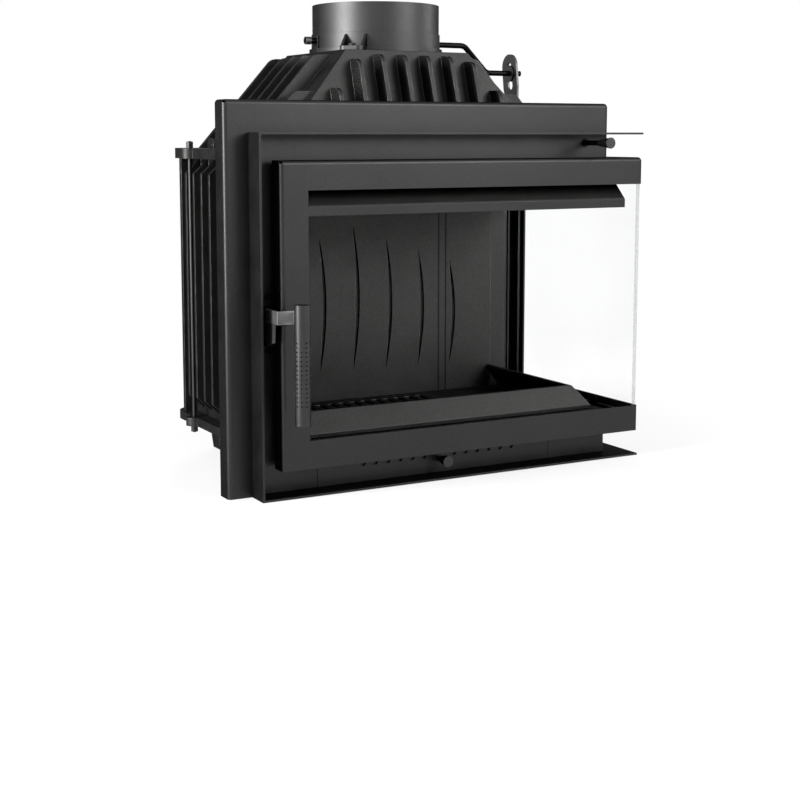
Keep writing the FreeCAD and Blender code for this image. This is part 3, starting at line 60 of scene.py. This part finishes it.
# bare steel, lighter than the steel alone: partly its own pale colour, partly painted light standing in for a
# fill lamp at the front left
BARE_LIT = (0.360, 0.360, 0.364, 1)
BARE_LIT_DARK = (0.290, 0.290, 0.294, 1)
BARE_LIT_WORN = (0.480, 0.480, 0.484, 1)
# lighter, rougher copy of the paint for the flue collar: partly its own finish, partly painted light that
# brightens its highlight
COLLAR_LIT = (0.057, 0.057, 0.057, 1)
COLLAR_LIT_DARK = (0.047, 0.047, 0.047, 1)
# lighter copy of the handle steel: partly the lever's own colour, partly painted light so that its face
# turned away from the lamps reads lit; the latch hook and washers share it
LEVER_LIT = (0.125, 0.125, 0.126, 1)
LEVER_LIT_DARK = (0.095, 0.095, 0.096, 1)
# dark colour of the joint lines and of the painted shade above the deflector's lip
JOINT_DIRT_AND_SHADE = (0.013, 0.0128, 0.0125, 1)

# Patterns of the metal finishes, with places in the part's frame
CLOUD_SCALE = 7.0
PATCH_SCALE = 60.0
SCRATCH_SCALE = 28.0
GRAIN_DEPTH = 0.0004
METAL = 0.95
RUBBED_GLOSS = 0.12        # how much smoother a rubbed edge is
BEVEL_SAMPLES = 6
SHADE_FADE = 0.003
JOINT_CORE = 0.0009        # half width of a dark joint line
JOINT_FADE = 0.0017        # where the line has faded out
DEFLECTOR_BEND = 0.410     # painted shade lies above the deflector's lip
PANEL_JOINTS = (-0.2065, 0.1985)
LINING_JOINTS = (0.164, 0.178)


class Finish:
    """A node-based material with helpers for patterns in the part's own coordinates."""

    def __init__(self, name):
        self.material = bpy.data.materials.new(name)
        self.material.use_nodes = True
        self.tree = self.material.node_tree
        self.tree.nodes.clear()
        self.place = self.add("ShaderNodeTexCoord").outputs["Object"]
        self.output = self.add("ShaderNodeOutputMaterial")

    def add(self, kind, inputs=(), **settings):
        node = self.tree.nodes.new(kind)
        for key, value in settings.items():
            setattr(node, key, value)
        for key, value in dict(inputs).items():
            self.feed(node.inputs[key], value)
        return node

    def feed(self, socket, value):
        if isinstance(value, bpy.types.NodeSocket):
            self.tree.links.new(value, socket)
        else:
            socket.default_value = value

    def noise(self, scale, detail):
        node = self.add("ShaderNodeTexNoise", {"Vector": self.place, "Scale": scale, "Detail": detail})
        return node.outputs["Fac"]

    def cells(self, scale):
        return self.add("ShaderNodeTexVoronoi", {"Vector": self.place, "Scale": scale}).outputs["Color"]

    def spread(self, value, low, high, to_low=0.0, to_high=1.0):
        inputs = {"Value": value, "From Min": low, "From Max": high, "To Min": to_low, "To Max": to_high}
        return self.add("ShaderNodeMapRange", inputs).outputs["Result"]

    def blend(self, share, first, second):
        node = self.add("ShaderNodeMix", data_type="RGBA")
        self.feed(node.inputs[0], share)
        self.feed(node.inputs[6], first)
        self.feed(node.inputs[7], second)
        return node.outputs[2]

    def math(self, operation, first, second):
        node = self.add("ShaderNodeMath", operation=operation)
        self.feed(node.inputs[0], first)
        self.feed(node.inputs[1], second)
        return node.outputs[0]

    def soft_normal(self, radius):
        return self.add("ShaderNodeBevel", {"Radius": radius}, samples=BEVEL_SAMPLES).outputs["Normal"]

    def edges(self, normal):
        flat = self.add("ShaderNodeNewGeometry").outputs["Normal"]
        dot = self.add("ShaderNodeVectorMath", operation="DOT_PRODUCT")
        self.feed(dot.inputs[0], normal)
        self.feed(dot.inputs[1], flat)
        return self.spread(dot.outputs["Value"], 0.985, 0.80)

    def bump(self, height, strength, distance, normal):
        inputs = {"Height": height, "Strength": strength, "Distance": distance, "Normal": normal}
        return self.add("ShaderNodeBump", inputs).outputs["Normal"]

    def surface(self, inputs):
        node = self.add("ShaderNodeBsdfPrincipled", inputs)
        self.feed(self.output.inputs["Surface"], node.outputs["BSDF"])


def coated(name, colours, grain, rough, shine, bump, edge=0.0012, rim=0.03, painted_shade_above=None, joints=()):
    """Paint or bare metal with fine grain, cloudy tone, edges lightened partly by wear and partly by a
    painted highlight, painted shade above a height and dark joints.
    """
    base, dark, worn_and_sheen = colours
    look = Finish(name)
    normal = look.soft_normal(edge)
    fine = look.noise(grain, 3.0)
    cloud = look.noise(CLOUD_SCALE, 3.0)
    tone = look.math("ADD", look.spread(fine, 0.3, 0.7, 0.0, 0.7), look.spread(cloud, 0.35, 0.65, 0.0, 0.3))
    colour = look.blend(tone, dark, base)
    patchy = look.spread(look.noise(PATCH_SCALE, 4.0), 0.45, 0.72, 0.15, 0.75)
    # edges lighten in patches: partly rubbed wear, partly a painted highlight along the edges
    wear_and_edge_sheen = look.math("MULTIPLY", look.edges(normal), patchy)
    colour = look.blend(wear_and_edge_sheen, colour, worn_and_sheen)
    spot = look.add("ShaderNodeSeparateXYZ", {"Vector": look.place})
    # painted shade: the part turns dark above a given height, standing in for the shade under the door's top
    # rail
    if painted_shade_above:
        colour = look.blend(look.spread(spot.outputs["Z"], painted_shade_above, painted_shade_above + SHADE_FADE), colour, JOINT_DIRT_AND_SHADE)
    for at in joints:
        away = look.math("ABSOLUTE", look.math("SUBTRACT", spot.outputs["X"], at), 0.0)
        colour = look.blend(look.spread(away, JOINT_FADE, JOINT_CORE), colour, JOINT_DIRT_AND_SHADE)
    scratch = look.spread(look.noise(SCRATCH_SCALE, 5.0), 0.3, 0.7, rough[0], rough[1])
    gloss = look.math("SUBTRACT", scratch, look.math("MULTIPLY", wear_and_edge_sheen, RUBBED_GLOSS))
    height = look.math("ADD", look.noise(grain * 2.6, 4.0), look.math("MULTIPLY", fine, 0.8))
    look.surface({
        "Base Color": colour,
        "Roughness": gloss,
        "Metallic": METAL,
        "Specular IOR Level": shine,
        "Specular Tint": (rim, rim, rim, 1),
        "Normal": look.bump(height, bump, GRAIN_DEPTH, normal),
    })
    return look.material


def pane(name, across):
    """Clear ceramic glass: see-through with a faint smoky film, a mirror coat by angle and ground ends."""
    look = Finish(name)
    haze = look.spread(look.noise(5.0, 5.0), 0.45, 0.75)
    tint = look.blend(haze, (0.993, 0.996, 0.994, 1), (0.976, 0.978, 0.976, 1))
    clear = look.add("ShaderNodeBsdfTransparent", {"Color": tint})
    dull = look.spread(look.noise(9.0, 4.0), 0.4, 0.7, 0.02, 0.08)
    mirror = look.add("ShaderNodeBsdfGlossy", {"Color": (0.35, 0.35, 0.35, 1), "Roughness": dull})
    outside = look.math("SUBTRACT", 1.0, look.add("ShaderNodeNewGeometry").outputs["Backfacing"])
    shine = look.spread(look.add("ShaderNodeFresnel", {"IOR": 1.35}).outputs["Fac"], 0.06, 0.6, 0.0, 0.6)
    angle = look.math("MULTIPLY", outside, shine)
    whole = look.add("ShaderNodeMixShader", {0: angle, 1: clear.outputs[0], 2: mirror.outputs[0]})
    facing = look.add("ShaderNodeSeparateXYZ", {"Vector": look.add("ShaderNodeTexCoord").outputs["Normal"]})
    ends = look.spread(look.math("ABSOLUTE", facing.outputs[across], 0.0), 0.9, 0.5, 0.0, 0.45)
    ground = look.add("ShaderNodeBsdfDiffuse", {"Color": (0.42, 0.45, 0.44, 1)})
    whole = look.add("ShaderNodeMixShader", {0: ends, 1: whole.outputs[0], 2: ground.outputs[0]})
    look.feed(look.output.inputs["Surface"], whole.outputs[0])
    return look.material


def rope(name):
    """Black glass-fibre rope with a fuzzy braid."""
    look = Finish(name)
    strands = look.noise(900.0, 2.0)
    tufts = look.noise(260.0, 4.0)
    colour = look.blend(look.spread(strands, 0.3, 0.7), (0.018, 0.018, 0.018, 1), (0.075, 0.074, 0.072, 1))
    height = look.math("ADD", strands, tufts)
    flat = look.add("ShaderNodeNewGeometry").outputs["Normal"]
    look.surface({
        "Base Color": colour,
        "Roughness": look.spread(tufts, 0.3, 0.7, 0.85, 0.97),
        "Specular IOR Level": 0.1,
        "Sheen Weight": 0.25,
        "Normal": look.bump(height, 0.5, 0.0006, flat),
    })
    return look.material


def board(name):
    """Pressed vermiculite: pale flakes in a tan binder, smoked on the face."""
    look = Finish(name)
    flakes = look.cells(420.0)
    shade = look.add("ShaderNodeSeparateColor", {"Color": flakes}).outputs["Red"]
    colour = look.blend(look.spread(shade, 0.2, 0.9), (0.16, 0.13, 0.09, 1), (0.36, 0.31, 0.23, 1))
    smoke = look.spread(look.noise(6.0, 4.0), 0.35, 0.65, 0.35, 0.85)
    colour = look.blend(smoke, colour, (0.03, 0.028, 0.026, 1))
    normal = look.soft_normal(0.001)
    look.surface({
        "Base Color": colour,
        "Roughness": look.spread(shade, 0.0, 1.0, 0.8, 0.95),
        "Specular IOR Level": 0.2,
        "Normal": look.bump(shade, 0.4, 0.0005, normal),
    })
    return look.material


def galvanised(name):
    """Zinc-coated sheet with spangles and ash stains."""
    look = Finish(name)
    spangle = look.add("ShaderNodeSeparateColor", {"Color": look.cells(110.0)}).outputs["Green"]
    colour = look.blend(spangle, (0.22, 0.23, 0.24, 1), (0.40, 0.41, 0.42, 1))
    ash = look.spread(look.noise(14.0, 5.0), 0.45, 0.7, 0.0, 0.7)
    colour = look.blend(ash, colour, (0.16, 0.155, 0.15, 1))
    normal = look.soft_normal(0.001)
    look.surface({
        "Base Color": colour,
        "Metallic": 0.8,
        "Roughness": look.spread(spangle, 0.0, 1.0, 0.35, 0.55),
        "Normal": look.bump(look.noise(300.0, 3.0), 0.15, 0.0004, normal),
    })
    return look.material


PAINTED = {
    "colours": (PAINT, PAINT_DARK, PAINT_WORN_AND_SHEEN),
    "grain": 420.0,
    "rough": (0.36, 0.44),
    "shine": 0.06,
    "edge": 0.0005,
}
CAST = {
    "colours": (IRON, IRON_DARK, IRON_WORN_AND_SHEEN),
    "grain": 300.0,
    "rough": (0.42, 0.54),
    "shine": 0.05,
    "bump": 0.018,
    "edge": 0.0014,
    "rim": 0.12,
}
BLACKENED = {
    "colours": (BLACK, BLACK_DARK, BLACK_WORN),
    "grain": 320.0,
    "rough": (0.34, 0.48),
    "shine": 0.10,
    "bump": 0.06,
}
HANDLE_COAT = {
    "colours": (HANDLE, HANDLE_DARK, HANDLE_WORN),
    "grain": 520.0,
    "rough": (0.32, 0.44),
    "shine": 0.20,
    "bump": 0.06,
    "edge": 0.0006,
}
# painted light in part: the bare steel is made lighter in place of a front-left fill lamp
BARE_LIT_COAT = {
    "colours": (BARE_LIT, BARE_LIT_DARK, BARE_LIT_WORN),
    "grain": 480.0,
    "rough": (0.34, 0.46),
    "shine": 0.20,
    "bump": 0.05,
    "edge": 0.0006,
}
# painted light in part: a lighter copy of the handle steel
LEVER_LIT_COAT = {
    "colours": (LEVER_LIT, LEVER_LIT_DARK, HANDLE_WORN),
    "grain": 520.0,
    "rough": (0.38, 0.48),
    "shine": 0.20,
    "bump": 0.03,
    "edge": 0.0006,
}
# painted light in part: the collar's paint is made lighter to brighten its highlight
COLLAR_LIT_COAT = dict(PAINTED, colours=(COLLAR_LIT, COLLAR_LIT_DARK, PAINT_WORN_AND_SHEEN), rough=(0.41, 0.48))
FINISHES = {
    "painted_steel": coated("painted_steel", bump=0.035, **PAINTED),
    "cast_iron": coated("cast_iron", **CAST),
    "blackened_steel": coated("blackened_steel", **BLACKENED),
    "handle_steel": coated("handle_steel", **HANDLE_COAT),
    "bare_steel": coated("bare_steel", **BARE_LIT_COAT),
    "glass": pane("glass", "Y"),
    "seal_rope": rope("seal_rope"),
    "baffle_board": board("baffle_board"),
    "galvanised": galvanised("galvanised"),
}
LEVER_LIT_STEEL = coated("lever_lit_steel", **LEVER_LIT_COAT)

# Pieces whose look differs from the rest of their slot
PIECE_FINISHES = {
    # lighter copy of the paint on the flue collar, partly painted light
    "flue_collar": coated("collar_lit_steel", bump=0.03, **COLLAR_LIT_COAT),
    # painted shade on the deflector above its lip, where the door's top rail shades it
    "air_deflector": coated("painted_shade_steel", bump=0.03, painted_shade_above=DEFLECTOR_BEND, **PAINTED),
    "glass_side": pane("side_glass", "X"),
    "air_panel": coated("panel_steel", bump=0.03, joints=PANEL_JOINTS, **PAINTED),
    "rear_lining": coated("lining_iron", joints=LINING_JOINTS, **CAST),
    "tie_rods": FINISHES["handle_steel"],
    "tie_rod_nuts": FINISHES["handle_steel"],
    "damper_knob": FINISHES["handle_steel"],
    "register_knob": FINISHES["handle_steel"],
    # lighter copy of the handle steel, partly painted light
    "latch_hook": LEVER_LIT_STEEL,
    "damper_lever": LEVER_LIT_STEEL,
    "damper_washers": LEVER_LIT_STEEL,
}


def dress():
    for subpart in frame["record"]["subparts"]:
        node = nodes[subpart["node"]]
        node.data.materials.clear()
        finish = PIECE_FINISHES.get(subpart["node"], FINISHES[subpart["material_slot"]])
        node.data.materials.append(finish)


# Rope seal behind the door
SEAL_R = 0.0052
SEAL_LEFT = -0.2673
SEAL_RIGHT = 0.3108
SEAL_FRONT = -0.1483
SEAL_REAR = 0.1667
SEAL_TOP = 0.4654
SEAL_LOW = 0.0508
SEAL_CORNERS = [
    (SEAL_LEFT, SEAL_FRONT, SEAL_TOP),
    (SEAL_RIGHT, SEAL_FRONT, SEAL_TOP),
    (SEAL_RIGHT, SEAL_REAR, SEAL_TOP),
    (SEAL_RIGHT, SEAL_REAR, SEAL_LOW),
    (SEAL_RIGHT, SEAL_FRONT, SEAL_LOW),
    (SEAL_LEFT, SEAL_FRONT, SEAL_LOW),
]
SEAL_STEP = 0.0024
SEAL_SIDES = 14
SEAL_TWIST = 0.011
SEAL_BEND = 0.010
SEAL_BEND_STEPS = 6
SEAL_STRANDS = 4
SEAL_BRAID = 0.05         # depth of the braid as a share of the radius


def seal_path():
    """Points of the closed loop with its corners rounded, evenly spaced along each piece."""
    corners = [Vector(spot) for spot in SEAL_CORNERS]
    points = []
    count = len(corners)
    for index, corner in enumerate(corners):
        before = (corners[index - 1] - corner).normalized()
        after = (corners[(index + 1) % count] - corner).normalized()
        start = corner + before * SEAL_BEND
        end = corner + after * SEAL_BEND
        for step in range(SEAL_BEND_STEPS + 1):
            t = step / SEAL_BEND_STEPS
            points.append(start * (1 - t) ** 2 + corner * 2 * t * (1 - t) + end * t ** 2)
        far = corners[(index + 1) % count] - after * SEAL_BEND
        steps = max(2, round((far - end).length / SEAL_STEP))
        points += [end.lerp(far, step / steps) for step in range(1, steps)]
    return points


def rope_seal():
    points = seal_path()
    count = len(points)
    verts = []
    faces = []
    along = 0.0
    side = Vector((0, 0, 1))
    for index, point in enumerate(points):
        ahead = points[(index + 1) % count]
        forward = (ahead - points[index - 1]).normalized()
        side = side - forward * side.dot(forward)
        if side.length < 0.2:
            side = forward.orthogonal()
        side.normalize()
        across = forward.cross(side)
        for step in range(SEAL_SIDES):
            angle = 2 * math.pi * step / SEAL_SIDES
            turn = 2 * math.pi * along / SEAL_TWIST
            strand = SEAL_STRANDS * angle
            braid = max(math.cos(strand + turn), math.cos(strand - turn))
            radius = SEAL_R * (1 - SEAL_BRAID + SEAL_BRAID * braid)
            verts.append(point + (side * math.cos(angle) + across * math.sin(angle)) * radius)
        along += (ahead - point).length
    for ring in range(count):
        for step in range(SEAL_SIDES):
            a = ring * SEAL_SIDES + step
            b = ring * SEAL_SIDES + (step + 1) % SEAL_SIDES
            c = (ring + 1) % count * SEAL_SIDES + (step + 1) % SEAL_SIDES
            d = (ring + 1) % count * SEAL_SIDES + step
            faces.append((a, d, c, b))
    mesh = bpy.data.meshes.new("rope_seal")
    mesh.from_pydata(verts, [], faces)
    mesh.shade_smooth()
    mesh.materials.append(FINISHES["seal_rope"])
    seal = bpy.data.objects.new("rope_seal", mesh)
    bpy.context.scene.collection.objects.link(seal)
    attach(seal, "door")
    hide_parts("door_seal")


# Studio
FLOOR_HALF = 14.0
FLOOR_SHADE = (0.5, 1.5)   # the floor turns from shaded to plain white between these distances
FLOOR_NEAR = 0.62          # share of plain white close to the part
AMBIENT = 0.20
CAMERA_PLACE = (-1.0980, -2.0182, 0.5104)
CAMERA_TILT = 0.1261       # downward
CAMERA_TURN = -0.5017
CAMERA_LENS = 65.72
CAMERA_SENSOR = 36.0
CAMERA_SHIFT = -0.1


def seen_directly(look):
    """1 for rays that show a backdrop as itself: to the camera, in gloss and through glass."""
    path = look.add("ShaderNodeLightPath")
    share = look.math("MAXIMUM", path.outputs["Is Camera Ray"], path.outputs["Is Glossy Ray"])
    return look.math("MAXIMUM", share, path.outputs["Is Transmission Ray"])


def studio_floor():
    corners = [(-1, -1), (1, -1), (1, 1), (-1, 1)]
    mesh = bpy.data.meshes.new("floor")
    mesh.from_pydata([(x * FLOOR_HALF, y * FLOOR_HALF, 0) for x, y in corners], [], [(0, 1, 2, 3)])
    look = Finish("floor")
    away = look.add("ShaderNodeVectorMath", {0: look.place}, operation="LENGTH").outputs["Value"]
    far = look.spread(away, FLOOR_SHADE[0], FLOOR_SHADE[1], FLOOR_NEAR, 1.0)
    cloud = look.blend(look.noise(3.0, 4.0), (0.86, 0.86, 0.86, 1), (0.88, 0.88, 0.88, 1))
    matt = look.add("ShaderNodeBsdfDiffuse", {"Color": cloud})
    glow = look.add("ShaderNodeEmission", {"Color": (1, 1, 1, 1), "Strength": 1.0})
    share = look.math("MULTIPLY", far, seen_directly(look))
    whole = look.add("ShaderNodeMixShader", {0: share, 1: matt.outputs[0], 2: glow.outputs[0]})
    look.feed(look.output.inputs["Surface"], whole.outputs[0])
    mesh.materials.append(look.material)
    floor = bpy.data.objects.new("floor", mesh)
    bpy.context.scene.collection.objects.link(floor)


def studio_world():
    world = bpy.data.worlds.new("studio")
    bpy.context.scene.world = world
    world.use_nodes = True
    tree = world.node_tree
    tree.nodes.clear()
    path = tree.nodes.new("ShaderNodeLightPath")
    share = path.outputs["Is Camera Ray"]
    for name in ("Is Glossy Ray", "Is Transmission Ray"):
        either = tree.nodes.new("ShaderNodeMath")
        either.operation = "MAXIMUM"
        tree.links.new(share, either.inputs[0])
        tree.links.new(path.outputs[name], either.inputs[1])
        share = either.outputs[0]
    level = tree.nodes.new("ShaderNodeMapRange")
    level.inputs["To Min"].default_value = AMBIENT
    tree.links.new(share, level.inputs["Value"])
    sky = tree.nodes.new("ShaderNodeBackground")
    sky.inputs["Color"].default_value = (1, 1, 1, 1)
    tree.links.new(level.outputs["Result"], sky.inputs["Strength"])
    output = tree.nodes.new("ShaderNodeOutputWorld")
    tree.links.new(sky.outputs[0], output.inputs[0])


def softbox(name, place, aim, width, height, power):
    lamp = bpy.data.lights.new(name, "AREA")
    lamp.shape = "RECTANGLE"
    lamp.size = width
    lamp.size_y = height
    lamp.energy = power
    holder = bpy.data.objects.new(name, lamp)
    bpy.context.scene.collection.objects.link(holder)
    holder.location = place
    holder.rotation_euler = (Vector(aim) - Vector(place)).to_track_quat("-Z", "Y").to_euler()


def camera():
    data = bpy.data.cameras.new("camera")
    data.lens = CAMERA_LENS
    data.sensor_width = CAMERA_SENSOR
    data.shift_y = CAMERA_SHIFT
    data.clip_end = 60.0
    holder = bpy.data.objects.new("camera", data)
    bpy.context.scene.collection.objects.link(holder)
    holder.location = CAMERA_PLACE
    holder.rotation_euler = (math.pi / 2 - CAMERA_TILT, 0.0, CAMERA_TURN)
    bpy.context.scene.camera = holder


dress()
rope_seal()
studio_floor()
studio_world()
softbox("key", (1.25, -2.3, 1.30), (0, 0, 0.45), 1.2, 1.0, 37)
softbox("left_panel", (-2.2, -0.15, 0.95), (0, 0, 0.6), 0.8, 1.6, 112)
softbox("right_strip", (2.2, -0.2, 0.95), (0, 0, 0.5), 0.4, 1.8, 48)
softbox("rear_fill", (1.2, 2.3, 1.30), (0, 0, 0.40), 1.2, 1.0, 30)
camera()
bpy.context.scene.view_settings.view_transform = "Standard"
